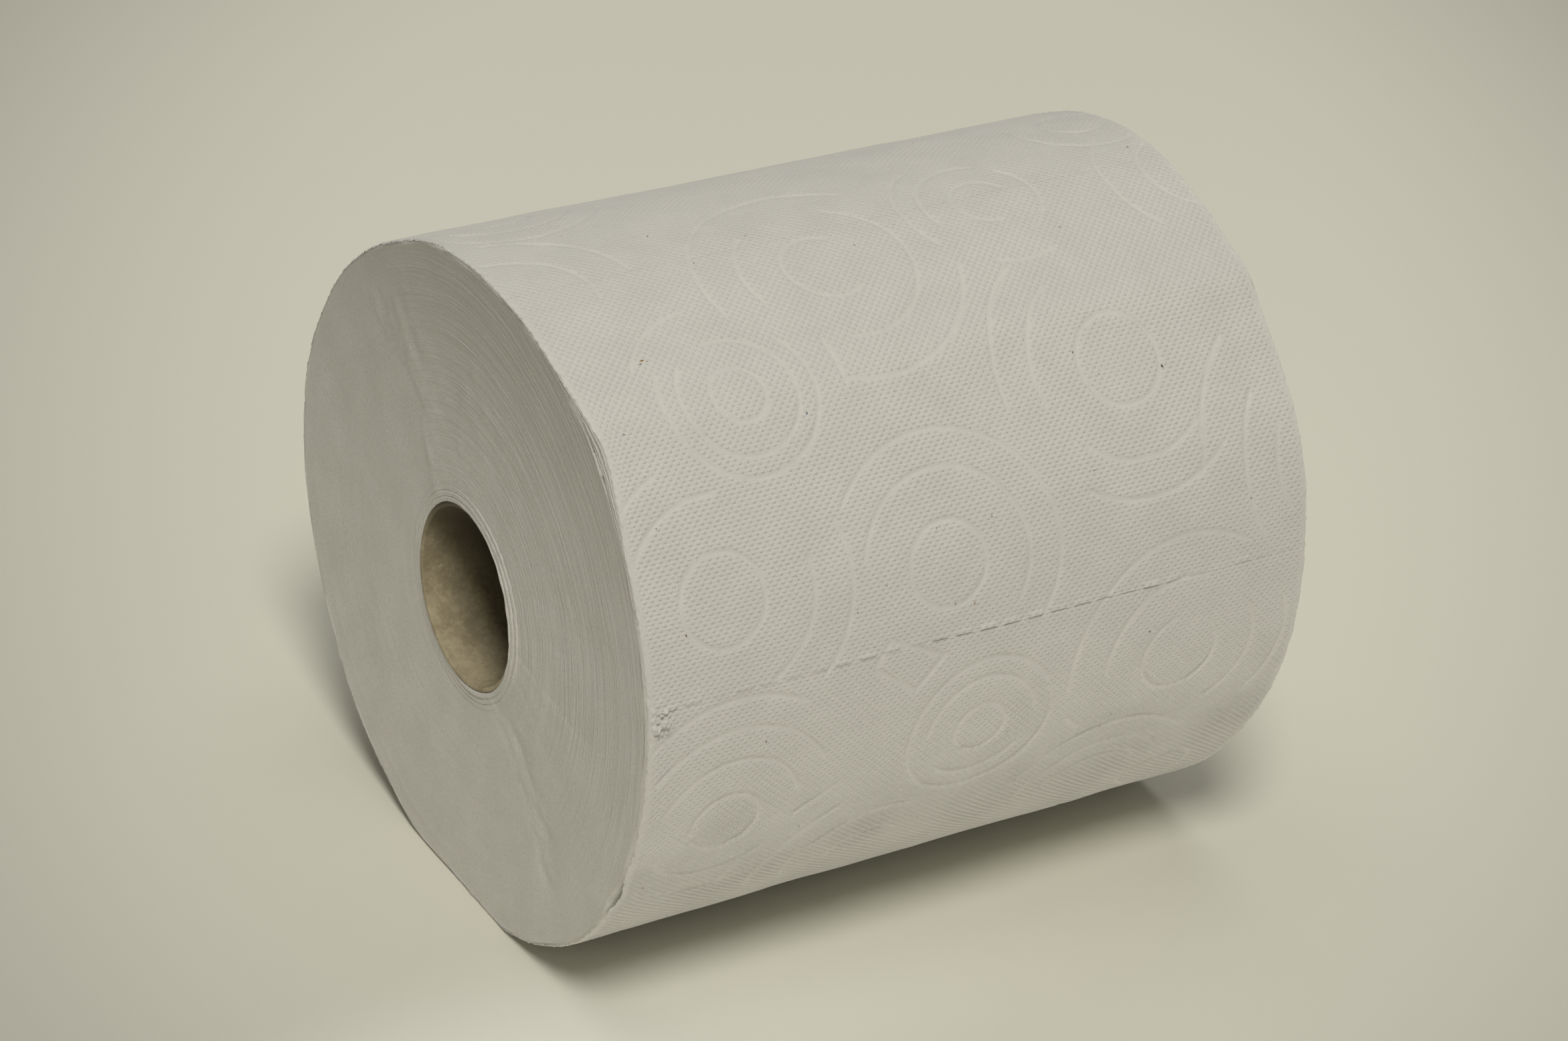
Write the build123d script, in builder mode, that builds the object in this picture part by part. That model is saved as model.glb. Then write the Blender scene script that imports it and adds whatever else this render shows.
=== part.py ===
"""A paper towel roll that lies on its side: one wound paper web on a cardboard core tube.

The axis runs along +X, +Z is up, and the origin is on the floor under the middle of the roll. The end
at -X is the one with the loose outer turns.
"""

import os
from math import cos, degrees, radians, sin

from build123d import *

os.makedirs("parts", exist_ok=True)

# Driving dimensions, in millimetres and degrees
roll_width = 200.0  # the paper's width, along the axis
roll_radius = 97.5  # mean radius of the wound paper
flat_width = 49.0  # the flat spot that the roll's own weight presses
flat_squash = 6.7  # how far the flat spot lies inside the mean radius

core_bore = 49.0  # inner diameter of the core tube
core_wall = 1.5
core_recess = 1.2  # from each end of the paper to the end of the tube
core_mouth_chamfer = 0.4

sheet_length = 235.0  # from one perforation to the next, round the roll
sheet_thickness = 0.5  # two embossed plies
perforation_angle = 168.5  # the line that shows on the front of the roll
slit_length = 5.0
slit_width = 0.5
slit_depth = 0.9
slit_pitch = 7.2

turn_count = 5  # turns that stand out on an end, of about three hundred
turn_gap = 0.6  # width of the groove between two such turns
turn_depth = 0.5
first_turn_margin = 6.0  # from the tube to the innermost groove
last_turn_margin = 5.5  # from the outermost groove to the outer turn
turn_arcs = 8  # arcs in one turn of the groove

inner_lip_width = 1.7  # the innermost turns stand proud in two steps
inner_lip_height = 0.2

loose_turn_count = 3
loose_turn_gap = 0.4  # widest opening between two loose outer turns
loose_turn_pitch = 0.9
loose_turn_depth = 5.0
loose_from, loose_to = 120, 142  # angles, from +Y towards +Z

crease_width = 1.3
crease_depth = 0.5

# The outline round the core's axis, as angles from +Y towards +Z and shares of the mean radius. Each
# arc takes three points in a row. It is nearly round, with long pressed stretches and a corner at 131.
front_shares = [
    (46, 0.996),
    (62, 0.985),
    (78, 0.990),
    (92, 1.000),
    (106, 1.018),
    (119, 1.043),
    (123, 1.054),
    (127, 1.063),
    (131, 1.061),
    (135, 1.055),
    (141, 1.051),
    (150, 1.047),
    (161, 1.040),
    (173, 1.026),
    (190, 1.002),
    (208, 0.979),
    (231, 0.967),
]
back_shares = [
    (299, 0.972),
    (314, 0.996),
    (331, 1.005),
    (349, 1.020),
    (369, 1.027),
]
tail_share = 1.008

# The dents that run out from the core on the near end: angle, where they start and stop between the
# core and the outline, and width
crease_shares = [
    (53, 0.13, 0.74, 0.8),
    (85, 0.19, 0.68, 0.7),
    (229, 0.04, 0.65, 1.0),
    (222, 0.07, 0.55, 0.9),
    (184, 0.06, 0.62, 0.9),
]

# What follows from them
core_radius = core_bore / 2 + core_wall
tube_length = roll_width - 2 * core_recess
axis_height = roll_radius - flat_squash
sheet_angle = degrees(sheet_length / roll_radius)
tail_angle = perforation_angle - sheet_angle
slit_count = int((roll_width - slit_pitch) / slit_pitch)


def place(angle, radius):
    """The point at an angle and a radius from the core's axis, as (y, z)."""
    return (radius * cos(radians(angle)), axis_height + radius * sin(radians(angle)))


def side_radius(angle):
    """The radius of the paper's side at an angle, between the rows of the outline."""
    flat_share = axis_height / roll_radius
    rows = [(tail_angle, tail_share), *front_shares, (270, flat_share), *back_shares]
    rows.append((tail_angle + 360, tail_share))
    for (before, low), (after, high) in zip(rows, rows[1:]):
        if before <= angle <= after:
            return roll_radius * (low + (high - low) * (angle - before) / (after - before))
    return side_radius(angle - 360)


def arcs(points):
    """Arcs through three points in a row, each from where the last one ends."""
    for start, middle, stop in zip(points[::2], points[1::2], points[2::2]):
        ThreePointArc(start, middle, stop)


def winding(offset):
    """The winding line of an end, from under the tail to the first turns, set off by a distance."""
    steps = 2 * turn_arcs * turn_count
    points = []
    for step in range(steps + 1):
        angle = tail_angle + step * 180 / turn_arcs
        innermost = core_radius + first_turn_margin
        outermost = side_radius(angle) - last_turn_margin
        radius = outermost + (innermost - outermost) * step / steps
        points.append(place(angle, radius + offset))
    return points


near_end = Plane.YZ.offset(-roll_width / 2)
far_end = Plane.YZ.offset(roll_width / 2)

# Paper web: every turn of the sheet, pressed into one solid
with BuildPart() as paper_web:
    # The wound paper, with the edge of the last sheet on its back
    with BuildSketch(near_end):
        with BuildLine():
            flat_left = (-flat_width / 2, 0)
            flat_right = (flat_width / 2, 0)
            tail_top = place(tail_angle, roll_radius * tail_share + sheet_thickness)
            tail_foot = place(tail_angle, roll_radius * tail_share)
            front = [place(angle, roll_radius * share) for angle, share in front_shares]
            back = [place(angle, roll_radius * share) for angle, share in back_shares]
            arcs([tail_top, *front, flat_left])
            Line(flat_left, flat_right)
            arcs([flat_right, *back, tail_foot])
            Line(tail_foot, tail_top)
        make_face()
    extrude(amount=roll_width)

    # The hole that the core tube fills
    with BuildSketch(near_end):
        with Locations((0, axis_height)):
            Circle(core_radius)
    extrude(amount=roll_width, mode=Mode.SUBTRACT)

    # The innermost turns, proud of the near end in two steps
    for step in (1, 2):
        with BuildSketch(near_end):
            with Locations((0, axis_height)):
                Circle(core_radius + step * inner_lip_width)
                Circle(core_radius, mode=Mode.SUBTRACT)
        extrude(amount=-(3 - step) * inner_lip_height)

    # The turns, as one spiral groove on each end
    for end, inward in ((near_end, turn_depth), (far_end, -turn_depth)):
        with BuildSketch(end):
            with BuildLine():
                outer_side = winding(turn_gap / 2)
                inner_side = winding(-turn_gap / 2)
                arcs(outer_side)
                arcs(inner_side)
                Line(outer_side[0], inner_side[0])
                Line(outer_side[-1], inner_side[-1])
            make_face()
        extrude(amount=inward, mode=Mode.SUBTRACT)

    # The loose outer turns: thin openings that close towards both of their ends
    for turn in range(loose_turn_count):
        with BuildSketch(near_end):
            with BuildLine():
                depth = (turn + 1) * loose_turn_pitch
                middle = (loose_from + loose_to) / 2
                start = place(loose_from, side_radius(loose_from) - depth)
                stop = place(loose_to, side_radius(loose_to) - depth)
                ThreePointArc(start, place(middle, side_radius(middle) - depth), stop)
                ThreePointArc(start, place(middle, side_radius(middle) - depth - loose_turn_gap), stop)
            make_face()
        extrude(amount=loose_turn_depth, mode=Mode.SUBTRACT)

    # The radial dents of the near end
    for angle, start_share, stop_share, width_share in crease_shares:
        with BuildSketch(near_end):
            with BuildLine():
                start = core_radius + (side_radius(angle) - core_radius) * start_share
                stop = core_radius + (side_radius(angle) - core_radius) * stop_share
                middle = (start + stop) / 2
                half_angle = degrees(crease_width * width_share / 2 / middle)
                Polyline(
                    place(angle, start),
                    place(angle + half_angle, middle),
                    place(angle, stop),
                    place(angle - half_angle, middle),
                    close=True,
                )
            make_face()
        extrude(amount=crease_depth, mode=Mode.SUBTRACT)

    # The perforations: a row of slits across the paper at each tear line that the last sheet leaves open
    slits = []
    for line in (0, 1):
        angle = perforation_angle + line * sheet_angle
        y, z = place(angle, side_radius(angle))
        for number in range(slit_count):
            along = (number - (slit_count - 1) / 2) * slit_pitch
            slits.append(Location((along, y, z), (angle - 90, 0, 0)))
    with Locations(*slits):
        Box(slit_length, slit_width, 2 * slit_depth, mode=Mode.SUBTRACT)
paper_web.part.label = "paper web"
export_step(paper_web.part, "parts/paper_web.step")

# Core tube: spiral-wound cardboard that the first turn is wound on
with BuildPart() as core_tube:
    with BuildSketch(Plane.YZ.offset(-tube_length / 2)):
        with Locations((0, axis_height)):
            Circle(core_radius)
            Circle(core_bore / 2, mode=Mode.SUBTRACT)
    extrude(amount=tube_length)
    mouths = core_tube.edges().filter_by(GeomType.CIRCLE).filter_by(
        lambda edge: edge.radius < core_radius - core_wall / 2
    )
    chamfer(mouths, length=core_mouth_chamfer)
core_tube.part.label = "core tube"
export_step(core_tube.part, "parts/core_tube.step")
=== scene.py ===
# %% [markdown]
# This scene dresses a paper towel roll that lies on its side. The roll is one long web of embossed
# tissue, wound on a cardboard tube and perforated into sheets. The roll could be sculpted by eye, but the
# solids already say how wide and how thick it is. So the first step loads them and reads every main size
# from their boxes. All later numbers are in millimetres, and become metres when a mesh is laid down.

import bpy
import numpy as np
from mathutils import Matrix, Vector


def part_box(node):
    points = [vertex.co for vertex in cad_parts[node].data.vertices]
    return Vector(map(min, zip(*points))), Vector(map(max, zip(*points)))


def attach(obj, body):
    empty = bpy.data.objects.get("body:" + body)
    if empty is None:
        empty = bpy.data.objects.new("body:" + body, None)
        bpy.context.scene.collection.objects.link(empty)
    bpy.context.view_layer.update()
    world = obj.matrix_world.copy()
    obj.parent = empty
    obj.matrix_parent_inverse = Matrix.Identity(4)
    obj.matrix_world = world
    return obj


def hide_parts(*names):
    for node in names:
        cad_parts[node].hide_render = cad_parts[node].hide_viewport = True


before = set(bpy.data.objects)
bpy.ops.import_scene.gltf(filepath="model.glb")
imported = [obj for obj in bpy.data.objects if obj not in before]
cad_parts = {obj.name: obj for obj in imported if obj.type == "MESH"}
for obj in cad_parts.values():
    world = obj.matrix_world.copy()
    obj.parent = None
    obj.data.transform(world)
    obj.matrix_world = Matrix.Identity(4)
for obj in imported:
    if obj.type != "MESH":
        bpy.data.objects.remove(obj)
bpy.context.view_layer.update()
MM = 0.001
web_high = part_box("paper_web")[1]
tube_low, tube_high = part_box("core_tube")
half_width = web_high.x / MM
tube_half = tube_high.x / MM
tube_radius = (tube_high.z - tube_low.z) / 2 / MM
axis_height = (tube_high.z + tube_low.z) / 2 / MM
print(len(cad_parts), "solids")
print(f"roll {2 * half_width:.1f} mm wide, tube radius {tube_radius:.1f}, axis {axis_height:.1f} up")

# %% [markdown]
# The roll isn't round. It was squeezed in its pack, so the outline has long pressed stretches, a ridge
# of loose turns on its upper front and a flat spot that it rests on. An outline like this could be
# sculpted, but a short table of angle and radius for each end is easier to read and to change. Angles
# go from +Y towards +Z round the core's axis. A cubic curve through the rows keeps the light smooth.

# %% The outline of each end
near_outline = [
    (11, 100.8), (30, 98.4), (46, 96.8), (61, 95.7), (75, 96.5), (90, 96.8), (104, 98.9),
    (113, 100.3), (120, 101.7), (125, 102.7), (129, 103.5), (133, 103.2), (138, 102.5),
    (147, 101.4), (162, 101.1), (176, 99.7), (193, 97.5), (203, 96.9), (213, 96.0), (228, 95.5),
    (245, 94.8), (258, 94.4), (282, 94.5), (298, 95.1), (310, 97.2), (330, 98.0), (350, 99.7),
]
far_outline = [
    (11, 100.8), (30, 98.0), (46, 95.8), (61, 94.3), (72, 95.6), (80, 97.2), (90, 98.8),
    (101, 99.7), (113, 100.3), (120, 101.4), (125, 103.4), (131, 102.2), (139, 102.3),
    (149, 103.1), (157, 102.8), (166, 101.0), (180, 99.0), (195, 96.5), (208, 94.7), (226, 94.7),
    (245, 94.8), (258, 94.6), (282, 94.5), (298, 95.1), (310, 97.2), (330, 98.0), (350, 99.7),
]
outline_step = 0.25
TURN = np.arange(0, 360, outline_step)
ridge_angle, ridge_reach = 130, 16
side_ease, ridge_ease = 3.5, 0.9


def ease(values, width):
    """Values round a whole turn, blurred over a width in degrees."""
    reach = 3 * int(width / outline_step)
    steps = np.arange(-reach, reach + 1) * outline_step
    weights = np.exp(-((steps / width) ** 2))
    wrapped = np.concatenate([values[-reach:], values, values[:reach]])
    return np.convolve(wrapped, weights / weights.sum(), "valid")


def curve_through(rows):
    """A cubic curve round the whole turn through rows of angle and value."""
    at, value = np.array(rows, float).T
    at = np.concatenate([at[-2:] - 360, at, at[:2] + 360])
    value = np.concatenate([value[-2:], value, value[:2]])
    slope = np.gradient(value, at)
    turn = np.where(TURN < at[2], TURN + 360, TURN)
    turn = np.where(turn > at[-2], turn - 360, turn)
    row = np.clip(np.searchsorted(at, turn, "right") - 1, 0, len(at) - 2)
    span = at[row + 1] - at[row]
    t = (turn - at[row]) / span
    return (
        value[row] * (1 + 2 * t) * (1 - t) ** 2
        + slope[row] * span * t * (1 - t) ** 2
        + value[row + 1] * t**2 * (3 - 2 * t)
        + slope[row + 1] * span * t**2 * (t - 1)
    )


def floor_radius(turn):
    """How far the floor lies from the axis along a heading in radians. Sideways it is out of reach."""
    return axis_height / np.maximum(-np.sin(turn), 0.05)


def pressed_outline(rows):
    """The outline with the flat spot that the floor presses into it."""
    radius = np.minimum(curve_through(rows), floor_radius(np.radians(TURN)))
    at_ridge = np.exp(-(((TURN - ridge_angle) / ridge_reach) ** 4))
    return ease(radius, side_ease) * (1 - at_ridge) + ease(radius, ridge_ease) * at_ridge


near_curve = pressed_outline(near_outline)
far_curve = pressed_outline(far_outline)
print(f"near outline {near_curve.min():.1f} to {near_curve.max():.1f} mm from the axis")

# %% [markdown]
# Soft paper is never quite even. A noise library could dent it, but sums of a few seeded waves give
# gentle dents of a chosen length, and the same ones on each run. Where a surface has dents of several
# lengths, a short table of heights, lengths and seeds says so.

# %% Gentle seeded unevenness
def waves(x, s, length, seed, count=10):
    """Soft unevenness between about -1 and 1 over the coordinates x and s, of one wavelength."""
    draw = np.random.default_rng(seed)
    total = np.zeros(np.broadcast(x, s).shape)
    for _ in range(count):
        heading = draw.uniform(0, 2 * np.pi)
        pitch = 2 * np.pi / (length * draw.uniform(0.75, 1.5))
        shift = draw.uniform(0, 2 * np.pi)
        total += np.sin(pitch * (x * np.cos(heading) + s * np.sin(heading)) + shift)
    return total / np.sqrt(count)


def ripples(along, length, seed):
    """Waves along a single coordinate."""
    return waves(along, 0 * along, length, seed)


def uneven(x, s, rows):
    """The sum of waves from rows of height, length and seed."""
    return sum(height * waves(x, s, length, seed) for height, length, seed in rows)


def step_up(value, low, high):
    """A smooth step from 0 at low to 1 at high."""
    t = np.clip((value - low) / (high - low), 0, 1)
    return t * t * (3 - 2 * t)


print(f"a sum of waves stays within {np.abs(ripples(TURN, 20, 11)).max():.1f}")

# %% [markdown]
# The side could be a bent cylinder, but paper is easier to think of unrolled: x along the axis, and s,
# the length of paper round the roll. The bare side blends from the near outline to the far one. The
# web's last end lies on the back, and the radius falls by one sheet's thickness over the turn, as it
# does on any wound roll.

# %% The bare side of the roll, unrolled
mean_radius = 98.6
sheet_thickness = 0.3
perforation_angle = 168.5
sheet_length = 237.0
sheet_angle = np.degrees(sheet_length / mean_radius)
tail_angle = perforation_angle - sheet_angle
rest_angle = 270
pressed_reach, free_reach = 13, 22
blend_half = 1.15 * half_width
side_dents = [(0.16, 60, 11), (0.07, 22, 12), (0.025, 7, 13)]


def unrolled(angle):
    """The paper's length at an angle round the roll."""
    return np.radians(angle) * mean_radius


tail_s = unrolled(tail_angle)
line_s = unrolled(perforation_angle)
turn_s = unrolled(360)


def pressed_flat(s):
    """1 on the flat spot and 0 on the free side."""
    from_rest = np.abs(s % turn_s - unrolled(rest_angle))
    return 1 - step_up(from_rest, unrolled(pressed_reach), unrolled(free_reach))


def bare_radius(x, s):
    """The side's radius before any emboss."""
    angle = np.degrees(s / mean_radius) % 360
    near = np.interp(angle, TURN, near_curve, period=360)
    far = np.interp(angle, TURN, far_curve, period=360)
    share = step_up(x, -blend_half, blend_half)
    wound = sheet_thickness * (1 - (s - tail_s) / turn_s)
    lift = (wound + uneven(x, s, side_dents)) * (1 - pressed_flat(s))
    radius = near + (far - near) * share + lift
    return np.minimum(radius, floor_radius(s / mean_radius))


print(f"a sheet is {sheet_length:.0f} mm long, and the last one ends at {tail_angle:.1f} degrees")

# %% [markdown]
# Steel rollers press two patterns into the web before it is wound: small pillows all over, and large
# rings whose lines are grooves. Bump in the finish could show both, but real grooves in the mesh catch
# the light better from every side. The rings are listed as arcs on the unrolled sheet: a centre, then
# each arc's radius with the angles where it starts and stops, from +x towards growing s. Short straight
# grooves join some of them. Each next repeat round the roll is mirrored from end to end.

# %% The ring motifs of one repeat
ring_motifs = {
    (43.3, 217.6): [(7.5, 0, 360), (16.2, -100, 215), (21.4, -35, 205), (27.5, 208, 262)],
    (85.6, 185.0): [
        (11.2, 60, 300), (24.8, -60, 100), (36.8, 15, 108), (35.2, 165, 305), (23.2, 160, 225),
    ],
    (152.0, 230.5): [
        (12.1, 0, 360), (26.2, 165, 240), (26.0, 50, 128), (36.6, 172, 238), (36.0, 48, 120),
    ],
    (24.3, 265.8): [
        (12.0, 0, 360), (26.0, -12, 62), (26.0, 205, 275), (37.0, -20, 42), (34.8, 222, 250),
    ],
    (89.0, 270.5): [(11.2, 0, 360), (24.4, 195, 395), (33.8, 218, 395)],
    (215.0, 266.0): [(23.4, 150, 205), (33.6, 150, 215), (47.0, 195, 228)],
    (100.9, 320.7): [(7.5, -210, 120), (16.3, -170, -12), (16.0, 40, 130), (21.8, -20, 330)],
    (162.0, 313.1): [
        (11.6, -40, 250), (23.2, 178, 285), (23.4, -25, 55), (34.8, 175, 302), (33.8, -15, 35),
    ],
    (26.3, 330.5): [
        (9.9, -190, 150), (21.0, 205, 342), (21.0, 50, 150), (30.4, 222, 330), (32.0, 62, 118),
    ],
    (26.3, 330.6): [(39.0, 225, 300)],
    (77.3, 366.5): [(10.4, 175, 330), (22.8, 165, 290), (33.2, 165, 240)],
    (148.0, 365.0): [(14.8, 190, 330), (22.8, 185, 330), (31.0, 200, 320)],
    (140.7, 173.8): [
        (8.6, 90, 330), (16.2, -45, 60), (17.4, 165, 290), (24.4, 150, 235), (23.6, 70, 110),
    ],
    (24.7, 113.0): [(11.0, 0, 360), (20.6, 20, 160), (28.8, 30, 150)],
    (2.7, 174.5): [(21.4, 250, 372), (34.0, 280, 352)],
    (205.0, 178.0): [(15.0, 90, 270), (27.0, 140, 225)],
    (190.0, 141.0): [(9.5, 0, 360), (19.5, 60, 190)],
}
joining_grooves = [
    (72.7, 207.6, 73.2, 221.0), (168.2, 263.4, 171.8, 249.0), (35.4, 349.0, 32.7, 362.4),
    (66.5, 292.4, 70.7, 286.6), (70.7, 286.6, 87.0, 294.4), (87.0, 294.4, 78.5, 302.6),
    (78.5, 302.6, 66.5, 293.6), (48.0, 334.4, 58.5, 327.6), (129.0, 327.0, 133.5, 331.0),
]
repeat_s = 262.0
repeats = [(0, False), (1, True), (-1, True)]
print(sum(len(arcs) for arcs in ring_motifs.values()), "arcs in one repeat")

# %% [markdown]
# A line on the roller is rounded, so the groove that it presses has soft flanks. An image of the rings
# could displace the mesh, but it would blur up close. Instead each point of the side's grid asks how
# near the closest arc or straight line is. Only the points in a box round a line are asked, which keeps
# it quick.

# %% How near each point lies to a groove
ring_half_line = 0.66
arc_room, straight_room = 4, 3
taper = 0.6


def window(x, s, low_x, high_x, low_s, high_s):
    """The slices of a grid, with rows along s and columns along x, that a box covers."""
    rows = slice(np.searchsorted(s[:, 0], low_s), np.searchsorted(s[:, 0], high_s))
    columns = slice(np.searchsorted(x[0], low_x), np.searchsorted(x[0], high_x))
    return rows, columns


def press_line(field, reach, distance):
    """Keeps the nearest line's closeness in a window of the field, for a smooth groove."""
    field[reach] = np.maximum(field[reach], np.exp(-((distance / ring_half_line) ** 2)))


def press_arc(field, x, s, centre, arc, mirrored):
    """Presses one arc round a centre into the field. It tapers off past both of its ends."""
    radius, start, stop = arc
    room = radius + arc_room
    reach = window(x, s, centre[0] - room, centre[0] + room, centre[1] - room, centre[1] + room)
    dx, ds = x[reach] - centre[0], s[reach] - centre[1]
    if mirrored:
        dx = -dx
    off = (np.degrees(np.arctan2(ds, dx)) - (start + stop) / 2 + 180) % 360 - 180
    past = np.radians(np.maximum(np.abs(off) - (stop - start) / 2, 0)) * radius
    press_line(field, reach, np.hypot(np.hypot(dx, ds) - radius, taper * past))


def press_straight(field, x, s, start, stop):
    """Presses one straight groove between two points into the field."""
    (low_x, high_x), (low_s, high_s) = sorted([start[0], stop[0]]), sorted([start[1], stop[1]])
    room = straight_room
    reach = window(x, s, low_x - room, high_x + room, low_s - room, high_s + room)
    dx, ds = x[reach] - start[0], s[reach] - start[1]
    run_x, run_s = stop[0] - start[0], stop[1] - start[1]
    part = np.clip((dx * run_x + ds * run_s) / np.hypot(run_x, run_s) ** 2, 0, 1)
    press_line(field, reach, np.hypot(dx - part * run_x, ds - part * run_s))


def mirror(along, mirrored):
    """A place along the roll from its near end, counted from the far end where the repeat is mirrored."""
    return 2 * half_width - along if mirrored else along


def ring_pattern(x, s):
    """How near each point of a grid is to the middle of a groove, from 0 to 1."""
    field = np.zeros(x.shape)
    along = x + half_width
    for number, mirrored in repeats:
        shift = number * repeat_s
        for (centre_x, centre_s), arcs in ring_motifs.items():
            centre = (mirror(centre_x, mirrored), centre_s + shift)
            for arc in arcs:
                press_arc(field, along, s, centre, arc, mirrored)
        for x0, s0, x1, s1 in joining_grooves:
            start = (mirror(x0, mirrored), s0 + shift)
            stop = (mirror(x1, mirrored), s1 + shift)
            press_straight(field, along, s, start, stop)
    return field


print(f"a groove is about {2 * ring_half_line:.1f} mm wide")

# %% [markdown]
# The small pillows stand on a lattice of 2.2 mm, like the squares of one colour on a chessboard. A
# texture could fake them, but the side's mesh has four points to each period, which is just enough to
# hold them as real bumps, and a product of two cosines is all that it takes.

# %% The small pillows
pillow_x = 2.21
pillow_s = 2.174
pillow_height = 0.15
chess_share = 0.65


def pillows(x, s):
    """The height of the small pillows, from about -1 to 1."""
    across = np.cos(2 * np.pi * x / pillow_x)
    round_it = 2 * np.pi * (s - tail_s) / pillow_s
    return chess_share * across * np.cos(round_it) + (1 - chess_share) * np.cos(2 * round_it)


print(f"{2 * half_width / pillow_x:.0f} pillows from end to end")

# %% [markdown]
# The perforation is a row of 5 mm slits with short bonds between them. Cutting real slits would leave
# the sheet full of holes, so they are narrow valleys, which the finish darkens with painted shade. Where
# the web was pulled, some slits gape a little and their upper lip stands up and catches the light. Each
# slit gets its own lift from a seeded draw, and the few that stand out get theirs from a list of place
# and lift.

# %% The perforation lines
slit_pitch = 7.2
slit_length = 5.0
slit_half_width = 0.17
slit_depth = 0.26
bond_depth = 0.05
first_slit = 2.6
slit_count = 40
lifted_slits = {
    55: 0.3, 62: 0.6, 69: 0.35, 91: 0.3, 98: 0.65, 105: 0.5, 113: 0.7, 129: 0.35, 150: 0.6, 157: 0.3,
}
perforation_lines = (line_s, line_s + sheet_length)


def slit_mask(x):
    """1 over a slit and 0 over a bond, along the axis."""
    from_middle = np.abs((x + half_width - first_slit) % slit_pitch - slit_pitch / 2)
    return 1 - step_up(from_middle, slit_length / 2 - 0.35, slit_length / 2 + 0.2)


def lip_lift(x):
    """How far the upper lip of the slit at x stands up."""
    draw = np.random.default_rng(41)
    lifts = 0.05 + 0.25 * draw.random(slit_count) ** 2
    number = np.clip(((x + half_width - first_slit) / slit_pitch).astype(int), 0, slit_count - 1)
    for place, lift in lifted_slits.items():
        lifts[int((place - first_slit) / slit_pitch)] = lift
    return lifts[number]


def perforation(x, s):
    """The height of the slits and their lips, and how much of each point lies in a slit."""
    height, cut = np.zeros(x.shape), np.zeros(x.shape)
    gape = 0.3 + 0.35 * ripples(x, 20, 43) + 0.35 * step_up(x, -45, -10) * (1 - step_up(x, 40, 75))
    mask = slit_mask(x) * np.clip(gape, 0.12, 1)
    lift = lip_lift(x) * slit_mask(x)
    for line in perforation_lines:
        wander = 0.25 * np.sin(x / 31) + 0.12 * np.sin(x / 9 + 1)
        off = s - line - wander
        inside = np.exp(-((off / slit_half_width) ** 2))
        cut = np.maximum(cut, inside * mask)
        height -= inside * (bond_depth + slit_depth * mask)
        height += lift * np.exp(-(((off + 0.75) / 0.55) ** 2))
    return height, cut


print(len(lifted_slits), "of", int(2 * half_width / slit_pitch), "slits stand out")

# %% [markdown]
# The near end of the open perforation has been picked at. A small patch of the sheet is crumpled there,
# with sharp little folds that stand up. Cloth simulation would crumple it at random. Folded noise, the
# bare size of a wave, gives such creases in the one place where they belong.

# %% The crumpled corner
crumple_x, crumple_s = 3.4, line_s + 2.6
crumple_half_x, crumple_half_s = 3.0, 4.4


def crumple(x, s):
    """Sharp small folds in a patch at the near end of the perforation."""
    across, round_it = (x + half_width - crumple_x) / crumple_half_x, (s - crumple_s) / crumple_half_s
    patch = np.exp(-(across**2 + round_it**2) * 1.3)
    folded = np.abs(waves(x, s, 4.2, 45)) + 0.6 * np.abs(waves(x, s, 2.4, 46))
    return patch * (1.9 * folded - 0.6)


print(f"the crumpled patch starts {crumple_x:.1f} mm from the near end")

# %% [markdown]
# The outermost turns have come loose on the near end. Their edges show as a band that is widest at the
# ridge, and lower down the last turn is torn a little off its neighbour, with nicks beside the tear. Cut
# pieces of mesh could show this, but two short tables, of the band's extra width and of how far the edge
# is set back, bend the same points that everything else uses.

# %% The edges of the side
edge_round = 0.4
edge_setback = 0.27
ridge_setback = 1.9
loose_width = 0.7
near_lens = [
    (117, 0.0), (123, 0.5), (127, 1.0), (130, 1.5), (133, 1.4), (137, 0.9), (144, 0.0),
    (201, 0.0), (204, 0.9), (208, 1.2), (211, 0.0),
]
near_tears = [
    (60, 0.0), (66, 0.5), (69, 0.1), (78, 0.6), (80, 0.1), (90, 0.4), (97, 0.0), (188, 0.0),
    (196, 0.7), (199, 0.1), (203, 0.3), (205, 1.1), (209, 0.8), (210, 0.1), (216, 0.6),
    (219, 0.1), (226, 0.4), (232, 0.0),
]


def lens_width(angle):
    """How wide the band of loose turn edges is on the near end."""
    at, width = np.array(near_lens, float).T
    smooth = ease(np.interp(TURN, at, width, left=0, right=0), 1.0)
    return loose_width + np.interp(angle % 360, TURN, smooth, period=360)


def torn_share(angle):
    """1 where the outer turn is torn off its neighbour and 0 elsewhere."""
    return step_up(angle % 360, 201, 205) * (1 - step_up(angle % 360, 209, 212))


def edge_x(end, angle):
    """Where the side's edge lies along the axis, at the near end (-1) or the far end (1)."""
    s = unrolled(angle)
    back = edge_setback + (0.07 * ripples(s, 1.8, 21 + end) + 0.07 * ripples(s, 8, 23 + end))
    if end < 0:
        loose = (lens_width(angle) - loose_width) / 1.5 * (1 - 0.7 * torn_share(angle))
        at, torn = np.array(near_tears, float).T
        back += ridge_setback * loose + np.interp(angle % 360, at, torn, left=0, right=0)
    return end * (half_width - np.maximum(back, 0))


print(f"the near edge is set back {(edge_x(-1, TURN) + half_width).max():.1f} mm at most")

# %% [markdown]
# Now the whole side can be given as points. Modifiers could add each layer of relief to a tube, but one
# function that sums them leaves every layer where it belongs: the emboss stops short of the edges and
# is pressed out on the flat spot, and the edge itself is slightly frayed and rounded.

# %% The side as points
ring_depth = 0.36
edge_reach = 8
floor_gap = 0.02


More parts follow.
